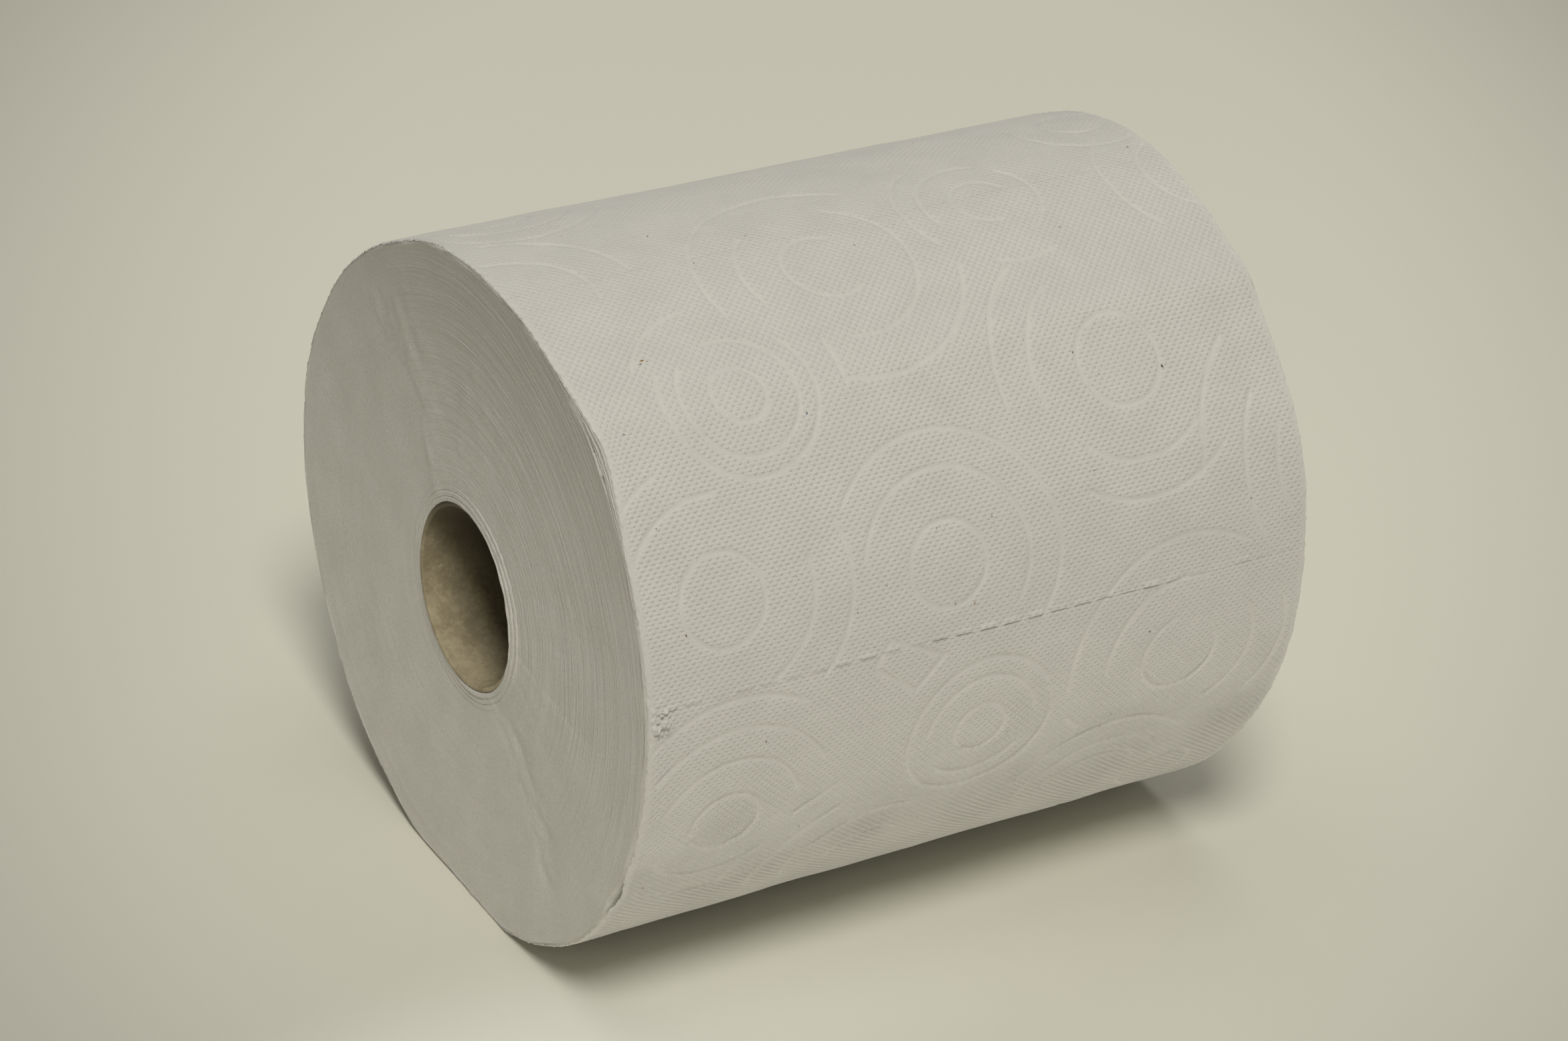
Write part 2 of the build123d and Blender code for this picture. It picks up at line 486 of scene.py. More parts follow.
def polar(angle, radius):
    """An angle and a radius as offsets along Y and Z from the core's axis."""
    return radius * np.cos(np.radians(angle)), radius * np.sin(np.radians(angle))


def on_roll(x, angle, radius):
    """Points at x along the roll and at an angle and a radius round it, but never under the floor."""
    y, z = polar(angle, radius)
    return np.stack(np.broadcast_arrays(x, y, np.maximum(axis_height + z, floor_gap)), -1)


def side_x(share, angle):
    """Where points at shares of the half width lie along the axis, and how far from the edge."""
    low, high = edge_x(-1, angle[:, :1]), edge_x(1, angle[:, :1])
    middle = np.clip(share, -1, 1) * half_width
    ends = np.clip((np.abs(middle) - (half_width - edge_reach)) / edge_reach, 0, 1)
    edge = np.where(middle < 0, low + half_width, high - half_width)
    return middle + edge * ends, half_width - np.abs(middle)


def side_relief(x, s, from_edge):
    """The height of everything on the bare side, and the marks of slits and grooves for its finish."""
    free = 1 - pressed_flat(s)
    inner = step_up(from_edge, 0.5, 2.5)
    rings = ring_pattern(x, s)
    slits, cut = perforation(x, s)
    strength = 0.75 + 0.25 * waves(x, s, 30, 31)
    deeper = 1 + 0.55 * step_up(s, line_s - 12, line_s + 22)
    pillow = pillow_height * strength * deeper * (1 - np.sqrt(rings)) * pillows(x, s)
    groove = ring_depth * deeper * (0.8 + 0.3 * waves(x, s, 16, 33)) * rings
    folds = crumple(x, s) * step_up(from_edge, 0, 0.8)
    fray = 0.14 * waves(x, s, 1.5, 35) * (1 - step_up(from_edge, 0.3, 1.8))
    relief = ((pillow - groove + slits) * inner + folds + fray) * free
    return relief, {"cut": cut * inner * free, "groove": 1 - (1 - rings) * inner * free}


def side_points(columns, rows):
    """Points of the side over columns, as shares of its width, and rows along s, and their marks."""
    share, s = np.meshgrid(columns, rows)
    angle = np.degrees(s / mean_radius)
    x, from_edge = side_x(share, angle)
    relief, marks = side_relief(x, s, from_edge)
    radius = bare_radius(x, s) + relief
    corner = np.clip(edge_round - from_edge, 0, edge_round)
    radius -= edge_round - np.sqrt(edge_round**2 - corner**2)
    return on_roll(x, angle, radius), marks


print(f"grooves {ring_depth} mm deep, pillows {pillow_height} mm high, edges rounded by {edge_round} mm")


# %% [markdown]
# A grid of points becomes a mesh with one helper. Blender's own grids could be bent into place, but
# points laid straight from numbers need no clearing up after. The helper also lays two maps on the mesh:
# one in metres of paper, for patterns, and one that fills the square, for anyone who bakes the finish
# later. The side's vertex normals are worked out on the points, so that its pieces meet without a seam.

# %% Lay a grid of points as a mesh
def face_grid(rows, columns, closed):
    """The corner numbers of a grid's faces. A closed grid joins its last row to its first."""
    number = np.arange(rows * columns).reshape(rows, columns)
    after = np.roll(number, -1, 0) if closed else number[1:]
    before = number if closed else number[:-1]
    corners = [before[:, :-1], after[:, :-1], after[:, 1:], before[:, 1:]]
    return np.stack(corners, -1).reshape(-1, 4)


def lay_mesh(name, points, faces, finish, replaced, normals=None, maps=None, marks=None):
    """Makes one piece from points in millimetres and face corners, and lets it ride on the roll."""
    mesh = bpy.data.meshes.new(name)
    flat = points.reshape(-1, 3) * MM
    mesh.from_pydata(flat.tolist(), [], faces.tolist())
    mesh.polygons.foreach_set("use_smooth", np.ones(len(faces), bool))
    for map_name, values in (maps or {}).items():
        layer = mesh.uv_layers.new(name=map_name)
        layer.uv.foreach_set("vector", values.reshape(-1, 2).astype(np.float32).ravel())
    for mark, values in (marks or {}).items():
        mesh.attributes.new(mark, "FLOAT", "POINT").data.foreach_set("value", values.ravel())
    mesh.materials.append(finish)
    mesh.update()
    if normals is not None:
        mesh.normals_split_custom_set_from_vertices(normals.reshape(-1, 3).tolist())
    piece = bpy.data.objects.new(name, mesh)
    bpy.context.scene.collection.objects.link(piece)
    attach(piece, "root")
    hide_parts(replaced)
    print(f"{name}: {len(faces)} faces")


def grid_normals(points):
    """Outward unit normals of a grid of points, from its differences along rows and columns."""
    normal = np.cross(np.gradient(points, axis=0), np.gradient(points, axis=1))
    return normal / np.maximum(np.linalg.norm(normal, axis=-1, keepdims=True), 1e-12)


print("a grid of 3 by 4 points has", len(face_grid(3, 4, False)), "faces")

# %% [markdown]
# A finish is a small graph of shader nodes. It could be drawn in the node editor or as a list of links,
# but sums are easier to read. So one class wraps a socket and overloads the operators.

# %% Sums of sockets
class Thread:
    """One output socket. Sums and products of threads add the Math nodes that work them out."""

    def __init__(self, finish, node, output=0):
        self.finish, self.node, self.socket = finish, node, node.outputs[output]

    def out(self, output):
        """Another output of the same node."""
        return Thread(self.finish, self.node, output)

    def __add__(self, other):
        return self.finish.maths("ADD", self, other)

    def __radd__(self, other):
        return self.finish.maths("ADD", other, self)

    def __sub__(self, other):
        return self.finish.maths("SUBTRACT", self, other)

    def __rsub__(self, other):
        return self.finish.maths("SUBTRACT", other, self)

    def __mul__(self, other):
        return self.finish.maths("MULTIPLY", self, other)

    def __rmul__(self, other):
        return self.finish.maths("MULTIPLY", other, self)

    def above(self, low, high):
        """0 under low and 1 over high, smooth between."""
        settings = {"interpolation_type": "SMOOTHSTEP"}
        return self.finish.node("MapRange", settings, {"Value": self, "From Min": low, "From Max": high})


print("threads add, subtract and multiply")

# %% [markdown]
# Tissue, board and floor are all matt, so each ends in one Principled shader, fed by a few layers of
# noise, mixed colours and a bump. Each could be built node by node, but the same steps would be written
# out many times. So a second class holds the material and makes any node, or one of those steps, in one
# call.

# %% A finish and its nodes
class Finish:
    """A material and the calls that add nodes to it."""

    def __init__(self, name):
        self.material = bpy.data.materials.new(name)
        self.material.use_nodes = True
        self.nodes = self.material.node_tree.nodes
        self.links = self.material.node_tree.links
        self.nodes.clear()

    def node(self, kind, settings=None, inputs=None, output=0):
        """Any node, with its settings set first and then the values or links of its sockets."""
        made = self.nodes.new("ShaderNode" + kind)
        for name, value in (settings or {}).items():
            setattr(made, name, value)
        for name, value in (inputs or {}).items():
            if isinstance(value, Thread):
                self.links.new(value.socket, made.inputs[name])
            else:
                made.inputs[name].default_value = value
        return Thread(self, made, output)

    def maths(self, operation, *values):
        return self.node("Math", {"operation": operation}, dict(enumerate(values)))

    def length(self, first, second):
        """The length of two sides at a right angle."""
        return self.maths("SQRT", first * first + second * second)

    def noise(self, place, scale, detail=2.0, roughness=0.5):
        settings = {"noise_dimensions": "3D"}
        inputs = {"Vector": place, "Scale": scale, "Detail": detail, "Roughness": roughness}
        return self.node("TexNoise", settings, inputs)

    def mix(self, share, first, second):
        """Two colours mixed. For colours, a Mix node takes inputs 0, 6 and 7 and gives output 2."""
        return self.node("Mix", {"data_type": "RGBA"}, {0: share, 6: first, 7: second}, 2)

    def shade(self, colour, roughness, height, constants):
        """Ends the graph in a Principled shader whose normal comes from a height in millimetres."""
        bump = self.node("Bump", {}, {"Strength": 1.0, "Distance": MM, "Height": height})
        inputs = {"Base Color": colour, "Roughness": roughness, "Normal": bump, **constants}
        shader = self.node("BsdfPrincipled", {}, inputs)
        end = self.nodes.new("ShaderNodeOutputMaterial")
        self.links.new(shader.socket, end.inputs["Surface"])
        return self.material


def colour(red, green, blue):
    """A colour given as it shows on screen, from 0 to 255, as the shader wants it."""
    linear = [((c / 255 + 0.055) / 1.055) ** 2.4 for c in (red, green, blue)]
    return (*linear, 1.0)


print("middle grey is", round(colour(128, 128, 128)[0], 3), "to the shader")

# %% [markdown]
# Tissue is a felt of fibres: matt, slightly warm grey, a little cloudy, with stray specks from recycled
# pulp. A photograph could be wrapped round it, but a few layers of noise repeat nowhere and stay sharp.
# The fibres are too fine for a mesh, so they are bump, along with the crisper tops of the pillows. Slits
# get painted shade, a darker colour for the light that can't reach into them, and a trace of sheen
# stands for the lit fuzz of the edge.

# %% The embossed paper of the side
cloudy_tissue, clean_tissue = colour(202, 200, 191), colour(208, 206, 197)
# The slits' darker colour is painted shade.
pulp_brown, slit_painted_shade = colour(150, 138, 112), colour(104, 97, 82)


def paper_finish():
    finish = Finish("embossed_tissue")
    place = finish.node("TexCoord").out("Object")
    sheet = finish.node("SeparateXYZ", {}, {0: finish.node("UVMap", {"uv_map": "sheet"})})
    cut = finish.node("Attribute", {"attribute_name": "cut"}).out("Fac")
    groove = finish.node("Attribute", {"attribute_name": "groove"}).out("Fac")
    clouds = finish.noise(place, 90, 3)
    pulp = finish.noise(place, 900, 3)
    fibres = finish.noise(place, 3200, 3, 0.6)
    across = finish.maths("COSINE", sheet.out("X") * (2 * np.pi / (pillow_x * MM)))
    round_it = (sheet.out("Y") - tail_s * MM) * (2 * np.pi / (pillow_s * MM))
    chess = across * finish.maths("COSINE", round_it)
    tops = chess.above(0.1, 0.9) * 0.15 + finish.maths("COSINE", round_it * 2) * 0.03
    pillow = tops * (1 - groove.above(0.1, 0.6))
    shade = clouds * 0.55 + pulp * 0.45
    tissue = finish.mix(shade.above(0.3, 0.7), cloudy_tissue, clean_tissue)
    specks = finish.noise(place, 1500, 1).above(0.76, 0.8)
    tissue = finish.mix(specks * 0.35, tissue, pulp_brown)
    # Painted shade in the slits, where the cut mark lies.
    tissue = finish.mix(cut * 0.6, tissue, slit_painted_shade)
    height = pillow + pulp * 0.10 + fibres * 0.07
    constants = {"Specular IOR Level": 0.2, "Sheen Weight": 0.4, "Sheen Roughness": 0.55}
    return finish.shade(tissue, 0.92 - pulp * 0.08, height, constants)


paper = paper_finish()
print("finish:", paper.name)

# %% [markdown]
# One mesh could hold the whole side. It is cut where the real web has its lines instead, and once more
# within each of the two outermost sheets to keep every mesh light. Rows of points lie close together at a
# perforation, so that its slits stay sharp, and further apart on the flat spot, where nothing shows.

# %% Lay the side
column_step = pillow_x / 4
row_step = pillow_s / 4
edge_columns = np.array([0, 0.08, 0.18, 0.32, 0.5])
column_most = int(half_width / column_step)
inner_columns = np.arange(-column_most, column_most + 1) * column_step
inner_columns = inner_columns[np.abs(inner_columns) < half_width - 0.6]
columns = np.concatenate(
    [-half_width + edge_columns, inner_columns, half_width - edge_columns[::-1]]
) / half_width
slit_rows = (-0.36, -0.2, -0.1, 0, 0.1, 0.2, 0.36)
sparse_reach, sparse_stride = 13.5, 4
closest_rows = 0.03
outer_row = 0.2


def rows_between(start, stop):
    """Rows from start to stop, on the lattice of the pillows, closer at perforations."""
    rows = tail_s + row_step * np.arange(0, int(turn_s / row_step) + 2)
    sparse = np.abs(rows - unrolled(rest_angle)) < unrolled(sparse_reach)
    close = [line + off for line in perforation_lines for off in slit_rows]
    rows = np.concatenate([rows[~sparse], rows[sparse][::sparse_stride], close, [start, stop]])
    rows = np.sort(rows[(rows >= start - 1e-6) & (rows <= stop + 1e-6)])
    return rows[np.concatenate([[True], np.diff(rows) > closest_rows])]


def lay_side(name, start, stop):
    """One piece of the side between two places along the paper."""
    rows = rows_between(start, stop)
    wide = np.concatenate([[rows[0] - outer_row], rows, [rows[-1] + outer_row]])
    points, marks = side_points(columns, wide)
    normals = grid_normals(points)[1:-1]
    points = points[1:-1]
    marks = {mark: values[1:-1] for mark, values in marks.items()}
    faces = face_grid(*points.shape[:2], False)
    x, s = np.meshgrid(columns * half_width, rows)
    sheet = np.stack([x * MM, s * MM], -1).reshape(-1, 2)
    whole = np.stack([(x + half_width) / (2 * half_width), (s - start) / (stop - start)], -1)
    maps = {"sheet": sheet[faces], "OFBake": whole.reshape(-1, 2)[faces]}
    lay_mesh(name, points, faces, paper, "paper_web", normals, maps, marks)


front_s = tail_s + sheet_length / 2
under_s = line_s + sheet_length * 0.47
next_line_s = line_s + sheet_length
lay_side("last_sheet_back", tail_s, front_s)
lay_side("last_sheet_front", front_s, line_s)
lay_side("second_sheet_front", line_s, under_s)
lay_side("second_sheet_under", under_s, next_line_s)
lay_side("third_sheet", next_line_s, tail_s + turn_s)

# %% [markdown]
# Each end shows the edges of about three hundred turns. Squeezing the roll has left folds in the near
# end, where one side of a line rises, and creases, which are narrow valleys that run out from the core.
# Brushing them in by hand would be quick, but hard to move later. Each is a short list of points, given
# by angle and radius, and one function says how far to the side of such a line a place lies.

# %% The folds and creases of the near end
folds = [
    ([(47.3, 79.2), (50.2, 71.8), (55.4, 64.0), (56.9, 48.2), (50.0, 34.0)], 0.55),
    ([(56.9, 77.5), (59.1, 68.2), (63.4, 56.0)], 0.34),
    ([(91.8, 75.2), (86.9, 64.5), (84.2, 57.5), (80.0, 38.0)], 0.34),
    ([(99.0, 66.0), (95.0, 56.0), (90.0, 42.0)], 0.22),
]
creases = [
    ([(234.0, 28.5), (231.7, 31.6), (226.0, 46.9), (227.1, 63.6), (229.0, 74.0)], 0.44, 2.8),
    ([(228.5, 30.0), (224.7, 37.2), (220.4, 47.5), (223.0, 65.0)], 0.22, 1.6),
    ([(181.7, 30.5), (183.0, 40.0), (184.3, 49.8), (186.0, 62.9), (184.2, 71.0)], 0.16, 0.8),
    ([(170.3, 31.7), (166.3, 48.1), (166.7, 56.9)], 0.14, 1.3),
    ([(196.0, 33.0), (199.0, 44.0), (205.0, 58.0)], 0.12, 1.6),
    ([(189.0, 31.0), (191.5, 41.0), (193.0, 55.0)], 0.10, 1.2),
    ([(157.0, 32.0), (152.0, 46.0), (154.0, 62.0)], 0.12, 1.6),
]
line_fade = 6
fold_foot, fold_top, fold_run = -3.0, 2.4, 9
far_slope = 2.4


def beside(rows, y, z):
    """How far points lie to one side of a broken line, and how near they are to its length."""
    nearest, side, past = np.full(y.shape, 999.0), np.zeros(y.shape), np.zeros(y.shape)
    corners = [polar(*row) for row in rows]
    for number, ((y0, z0), (y1, z1)) in enumerate(zip(corners, corners[1:])):
        length = np.hypot(y1 - y0, z1 - z0)
        run = ((y - y0) * (y1 - y0) + (z - z0) * (z1 - z0)) / length
        across = ((y - y0) * (z1 - z0) - (z - z0) * (y1 - y0)) / length
        off = np.hypot(across, run - np.clip(run, 0, length))
        before = np.maximum(-run, 0) if number == 0 else 0 * run
        beyond = np.maximum(run - length, 0) if number == len(rows) - 2 else 0 * run
        ends = np.maximum(before, beyond)
        signed = np.where(ends > 0, across, np.copysign(off, across))
        side = np.where(off < nearest, signed, side)
        past = np.where(off < nearest, ends, past)
        nearest = np.minimum(nearest, off)
    return side + 0.4 * waves(y, z, 24, 47), np.exp(-((past / line_fade) ** 2))


def dents(y, z):
    """The relief of all the folds and creases."""
    relief = np.zeros(y.shape)
    strength = np.clip(0.8 + 0.45 * waves(y, z, 9, 49), 0.1, 1.6)
    for rows, high in folds:
        side, near = beside(rows, y, z)
        slope = np.exp(-np.maximum(side, 0) / fold_run)
        relief += high * strength * near * step_up(side, fold_foot, fold_top) * slope
    for rows, deep, wide in creases:
        side, near = beside(rows, y, z)
        wide = np.where(side < 0, wide, far_slope * wide)
        relief -= deep * strength * near * np.exp(-((side / wide) ** 2))
    return relief


print(len(folds), "folds and", len(creases), "creases")

# %% [markdown]
# Round the tube the turns were wound tightly, and have crept out of the face in a few bundles with
# grooves between them, most of all towards the front. Every turn could be modelled, but from a
# step away only the bundles read. The rest of the end is a flat face with long gentle dents.

# %% The relief of an end
inner_turns = 3
inner_turn_pitch = 1.6
proud_angle = 165
lip_steps = [(30.85, 0.10), (29.25, 0.16), (27.65, 0.20)]


def front_share(angle):
    """1 towards the front of the hole, a little above its middle, and 0 on the other side."""
    return (0.5 + 0.5 * np.cos(np.radians(angle - proud_angle))) ** 2


def inner_ridges(angle):
    """Columns over the innermost bundles of turns: the radius of each and how far it stands out."""
    columns = [(tube_radius + 0.05, -0.5 + 0 * angle)]
    for turn in range(inner_turns):
        start = tube_radius + 0.05 + turn * inner_turn_pitch
        stand = 0.24 + 0.10 * ripples(angle, 70, 101 + turn)
        stand += 0.05 * ripples(angle, 12, 111 + turn)
        stand *= (1 - 0.25 * turn) * (0.3 + 1.3 * front_share(angle))
        columns += [(start, 0.3 * stand), (start + 0.15, 0.9 * stand), (start + 0.6, stand)]
        columns += [(start + 1.1, 0.85 * stand), (start + 1.25, 0.4 * stand)]
        columns += [(start + 1.38, -0.14 + 0 * angle), (start + 1.5, -0.12 + 0 * angle)]
    return columns


def end_relief(end, angle, radius, ring_offset):
    """How far an end's surface stands out from its plane."""
    y, z = polar(angle, radius)
    relief = uneven(y, z, [(0.22, 70, 51 + end), (0.07, 20, 52 + end)])
    relief += ring_offset * (0.8 + 0.35 * waves(angle * 0.9, radius, 30, 55))
    if end < 0:
        for reach, height in lip_steps:
            ragged = 0.12 * ripples(angle, 5, 57)
            proud = height * (0.4 + 0.9 * front_share(angle))
            relief += proud * (1 - step_up(radius + ragged, reach - 0.2, reach + 0.2))
        relief += dents(y, z)
    edge = step_up(radius, tube_radius, tube_radius + 1.2)
    return relief * (0.4 + 0.6 * edge)


print(inner_turns, "bundles of turns stand out round the tube")

# %% [markdown]
# The face of an end could be a disc that is displaced, but that needs a very dense mesh. A polar grid
# spends its points where the shape needs them. Its columns run up the wall of the hole, over the
# innermost turns and the face, and through the band of loose turns to just under the side's edge.

# %% The points of an end
wall_depths = (-5.0, -1.6, -0.5)
ring_unevenness = 0.035
far_loose_width = 0.9
tooth_shape = ((0.25, 1.0), (0.6, 0.75), (1.0, -0.6))
tear_depth = 4.0
tuck = 0.35


def hole_columns(end, angle):
    """Columns up the wall of the hole and over the innermost turns, as radius and outward distance."""
    columns = [(np.full(angle.shape, tube_radius + 0.03), depth + 0 * angle) for depth in wall_depths]
    for start, stand in inner_ridges(angle):
        ragged = 0.12 * ripples(angle * 3, 5, 63) * (1 - step_up(start, 26.2, 28))
        radius = start + np.maximum(ragged, 0)
        columns.append((radius, end_relief(end, angle, radius, 0) + stand))
    return columns


def face_columns(end, angle, first, last, count):
    """Columns over the face of the end, from the innermost turns to the loose ones."""
    draw = np.random.default_rng(61 + end)
    shares = np.linspace(0, 1, count + 1)[1:]
    columns = []
    for share, ring_offset in zip(shares, draw.normal(0, ring_unevenness, count)):
        radius = first + (last - first) * share
        columns.append((radius, end_relief(end, angle, radius, ring_offset)))
    return columns


def loose_columns(end, angle, outer, width, start, teeth):
    """Columns over the loose outer turns, three to a turn, out to just under the side's edge."""
    edge = end * edge_x(end, angle) - half_width
    inner = outer - width
    columns = []
    for tooth in range(teeth):
        for part, proud in tooth_shape:
            share = (tooth + part) / teeth
            wavy = share + 0.10 * ripples(angle, 9, 71 + tooth) * np.sin(np.pi * share)
            radius = inner + (outer - inner) * np.clip(wavy, 0, 1)
            stand = np.clip(0.35 + 0.8 * ripples(angle, 13, 75 + tooth), 0, 1.2)
            out = start * (1 - share) + edge * share + 0.14 * proud * stand * width * (share < 0.99)
            if end < 0 and 0.45 < share < 0.95:
                out = out - tear_depth * torn_share(angle)
            columns.append((radius, out))
    columns.append((outer, edge - tuck))
    return columns


def end_columns(end, angle, across, teeth):
    """The radius and the outward distance of an end's points, with a row to each angle."""
    s = unrolled(np.where(angle < tail_angle, angle + 360, angle))
    outer = bare_radius(np.full(s.shape, end * half_width), s) - edge_round
    width = lens_width(angle) if end < 0 else far_loose_width + 0 * angle
    columns = hole_columns(end, angle)
    columns += face_columns(end, angle, columns[-1][0], outer - width, across)
    columns += loose_columns(end, angle, outer, width, columns[-1][1], teeth)
    return np.array(columns).transpose(1, 2, 0)


print("columns to a loose turn:", len(tooth_shape))

# %% [markdown]
# The ends were cut with a saw, so they read as a soft felt with fine lines that follow the winding. Real
# rings would need thousands of columns. Noise that is drawn out along the winding gives such lines, and
# they show most where the saw has combed the paper open, at the upper front. Towards the top the face is
# painted darker, which is painted shade, and a bump leans the edges of the turns back.

# %% The sawn edges of the turns
cloudy_felt, clean_felt = colour(194, 192, 181), colour(205, 203, 193)
# The third felt colour is painted shade for the top of the end.
painted_shade_felt, felt_speck = colour(182, 179, 167), colour(120, 112, 96)
combed_y, combed_z = -0.66, 0.75
# Heights over the axis where that painted shade starts and where it is full.
painted_shade_from, painted_shade_full = 0.035, 0.105
lean_from, lean_rate = 12, 0.0010


def round_axis(finish, place):
    """The height over the axis, the radius and the heading of each point, for patterns that wind."""
    settings = {"operation": "SUBTRACT"}
    centred = finish.node("VectorMath", settings, {0: place, 1: (0, 0, axis_height * MM)})
    parts = finish.node("SeparateXYZ", {}, {0: centred})
    flat = finish.node("CombineXYZ", {}, {"X": 0.0, "Y": parts.out("Y"), "Z": parts.out("Z")})
    radius = finish.node("VectorMath", {"operation": "LENGTH"}, {0: flat}).out("Value")
    heading = finish.node("VectorMath", {"operation": "NORMALIZE"}, {0: flat})
    return parts.out("Z"), radius, finish.node("SeparateXYZ", {}, {0: heading})


def turns_finish():
    finish = Finish("turn_edges")
    place = finish.node("TexCoord").out("Object")
    height_over_axis, radius, aim = round_axis(finish, place)

    def streaks(length, gap, detail):
        """Noise drawn out along the winding: cells of a length round the roll and a gap across."""
        inputs = {"X": radius * (1 / gap), "Y": aim.out("Y") * length, "Z": aim.out("Z") * length}
        return finish.noise(finish.node("CombineXYZ", {}, inputs), 1.0, detail)

    broad = streaks(2.0, 2.2 * MM, 2)
    lines = streaks(1.6, 1.05 * MM, 1).above(0.38, 0.62)
    fine = streaks(3.5, 0.5 * MM, 1)
    fuzz = finish.noise(place, 1250, 3, 0.65)
    clouds = finish.noise(place, 60, 2)
    combed = (aim.out("Z") * combed_z + aim.out("Y") * combed_y).above(-0.1, 0.75) * 0.88 + 0.12
    shade = clouds * 0.3 + lines * combed * 0.08 + fuzz * 0.62
    felt = finish.mix(shade.above(0.36, 0.60), cloudy_felt, clean_felt)
    # Painted shade: the felt darkens towards the top of the end.
    felt = finish.mix(height_over_axis.above(painted_shade_from, painted_shade_full) * 0.8, felt, painted_shade_felt)
    specks = finish.noise(place, 1300, 1).above(0.77, 0.8)
    felt = finish.mix(specks * 0.3, felt, felt_speck)
    raised = finish.maths("MAXIMUM", height_over_axis * (1 / MM) - lean_from, 0.0)
    lean = raised * raised * lean_rate
    height = lean + (broad * 0.12 + lines * 0.10 + fine * 0.20) * combed + fuzz * 0.22
    constants = {"Specular IOR Level": 0.15, "Sheen Weight": 0.1, "Sheen Roughness": 0.7}
    return finish.shade(felt, 0.95 - fuzz * 0.05, height, constants)


turn_edges = turns_finish()
print("finish:", turn_edges.name)

# %% [markdown]
# Each end of the paper is a ring round the hole. A disc could be cut out and dented, but the columns of
# a polar grid follow the turns as they lie. The far end isn't seen from the front, so its grid is
# coarser. It gets a flat map for a later bake of its colours, which is the end as seen along the axis,
# with the wall of the hole spread inwards so that it has room there too.

# %% Lay the two ends
map_width = 230


def lay_end(end, name, around, across, teeth):
    """One end of the wound paper as a closed polar grid."""
    angle = np.arange(around) * 360 / around
    radius, out = end_columns(end, angle, across, teeth)
    around_it = np.repeat(angle[:, None], radius.shape[1], 1)
    if end > 0:
        radius, out, around_it = radius[::-1], out[::-1], around_it[::-1]
    points = on_roll(end * (half_width + out), around_it, radius)
    faces = face_grid(*points.shape[:2], True)
    depth = np.maximum(-out, 0) * (radius < tube_radius + 0.06)
    map_y, map_z = polar(around_it, radius - 0.8 * depth)
    whole = np.stack([0.5 + map_y / map_width, 0.5 + map_z / map_width], -1).reshape(-1, 2)
    maps = {"OFBake": whole[faces]}
    lay_mesh(name, points, faces, turn_edges, "paper_web", maps=maps)


lay_end(-1, "near_end_turns", around=560, across=62, teeth=4)
lay_end(1, "far_end_turns", around=400, across=38, teeth=2)

# %% [markdown]
# Recycled pulp keeps specks of bark and of printed paper. Noise in the finish gives the faintest, but a
# speck that catches the eye has a shape, so each is a flat flake with a ragged edge that lies on the
# paper. The ones that show from the front are listed, with their place on the unrolled sheet, their
# length and their tint. A seeded draw scatters others on the rest.

# %% Where the specks lie
seen_specks = [
    (23, 202.7, 1.3, 0.1), (22.2, 203.6, 0.7, 0.2), (24.2, 203.2, 0.6, 0.1), (8.9, 221.5, 0.7, 0.8),
    (59.3, 226.5, 0.9, 1.0), (85.3, 225.8, 0.5, 0.7), (106.3, 228.2, 0.5, 0.6),
    (139.5, 226.5, 0.8, 0.7), (145, 233.4, 0.6, 0.5), (164, 235.1, 1.2, 0.8), (30, 145.4, 0.5, 0.6),
    (49.3, 156.5, 0.6, 0.7), (53.7, 173.3, 0.5, 0.4), (72.7, 166.5, 0.5, 0.6),
    (97.6, 180.2, 0.6, 0.8), (112, 175.8, 0.5, 0.5), (193, 164.5, 0.7, 0.7),
    (155.5, 189.5, 0.6, 0.6), (10, 245.1, 0.6, 0.8), (12.7, 272, 0.9, 0.5), (61.3, 276.9, 0.6, 0.7),
    (70.4, 272, 0.5, 0.6), (87, 261, 0.6, 0.7), (90, 281, 0.6, 0.8), (95.7, 282.2, 0.8, 0.1),
    (103.3, 261.5, 0.6, 0.6), (135.7, 256.5, 0.6, 0.7), (150.7, 303.5, 0.8, 0.7),
    (34.4, 305.8, 0.8, 0.9), (50.7, 341.8, 0.6, 0.6), (110, 325.4, 0.6, 0.8),
    (144.4, 330.5, 0.6, 0.7), (182, 273, 0.6, 0.6), (7.5, 352, 0.8, 0.8),
]
speck_share = 0.0009
listed_from, listed_to = 140, 350


def scattered_specks():
    """Specks on the parts of the side that the list leaves free, and tiny ones among the listed."""
    draw = np.random.default_rng(91)
    specks = []
    for _ in range(int(speck_share * 2 * half_width * turn_s)):
        x, s = draw.uniform(3, 2 * half_width - 3), draw.uniform(0, turn_s)
        length, tint = 0.3 + 0.5 * draw.random() ** 2, draw.uniform(0.3, 0.9)
        if not listed_from < s < listed_to or length < 0.42:
            specks.append((x, s, length, tint))
    return specks


print(len(seen_specks), "specks are listed and", len(scattered_specks()), "are scattered")

# %% [markdown]
# A speck is pressed flat into the tissue and is a brown of straw or bark, or now and then the blue of
# printing ink. An object for each would clutter the model, so one mesh holds them all. A tint stored
# with the points of each flake tells the finish which colour it has.

# %% Lay the specks
speck_corners = 7
speck_lift = 0.085
straw_speck, bark_speck, ink_speck = colour(150, 118, 62), colour(98, 84, 62), colour(84, 96, 122)


def speck_finish():
    finish = Finish("pulp_specks")
    tint = finish.node("Attribute", {"attribute_name": "tint"}).out("Fac")
    bark = finish.mix(tint.above(0.0, 0.6), straw_speck, bark_speck)
    speck = finish.mix(tint.above(0.88, 0.98), bark, ink_speck)
    return finish.shade(speck, 0.8, 0.0, {"Specular IOR Level": 0.2})


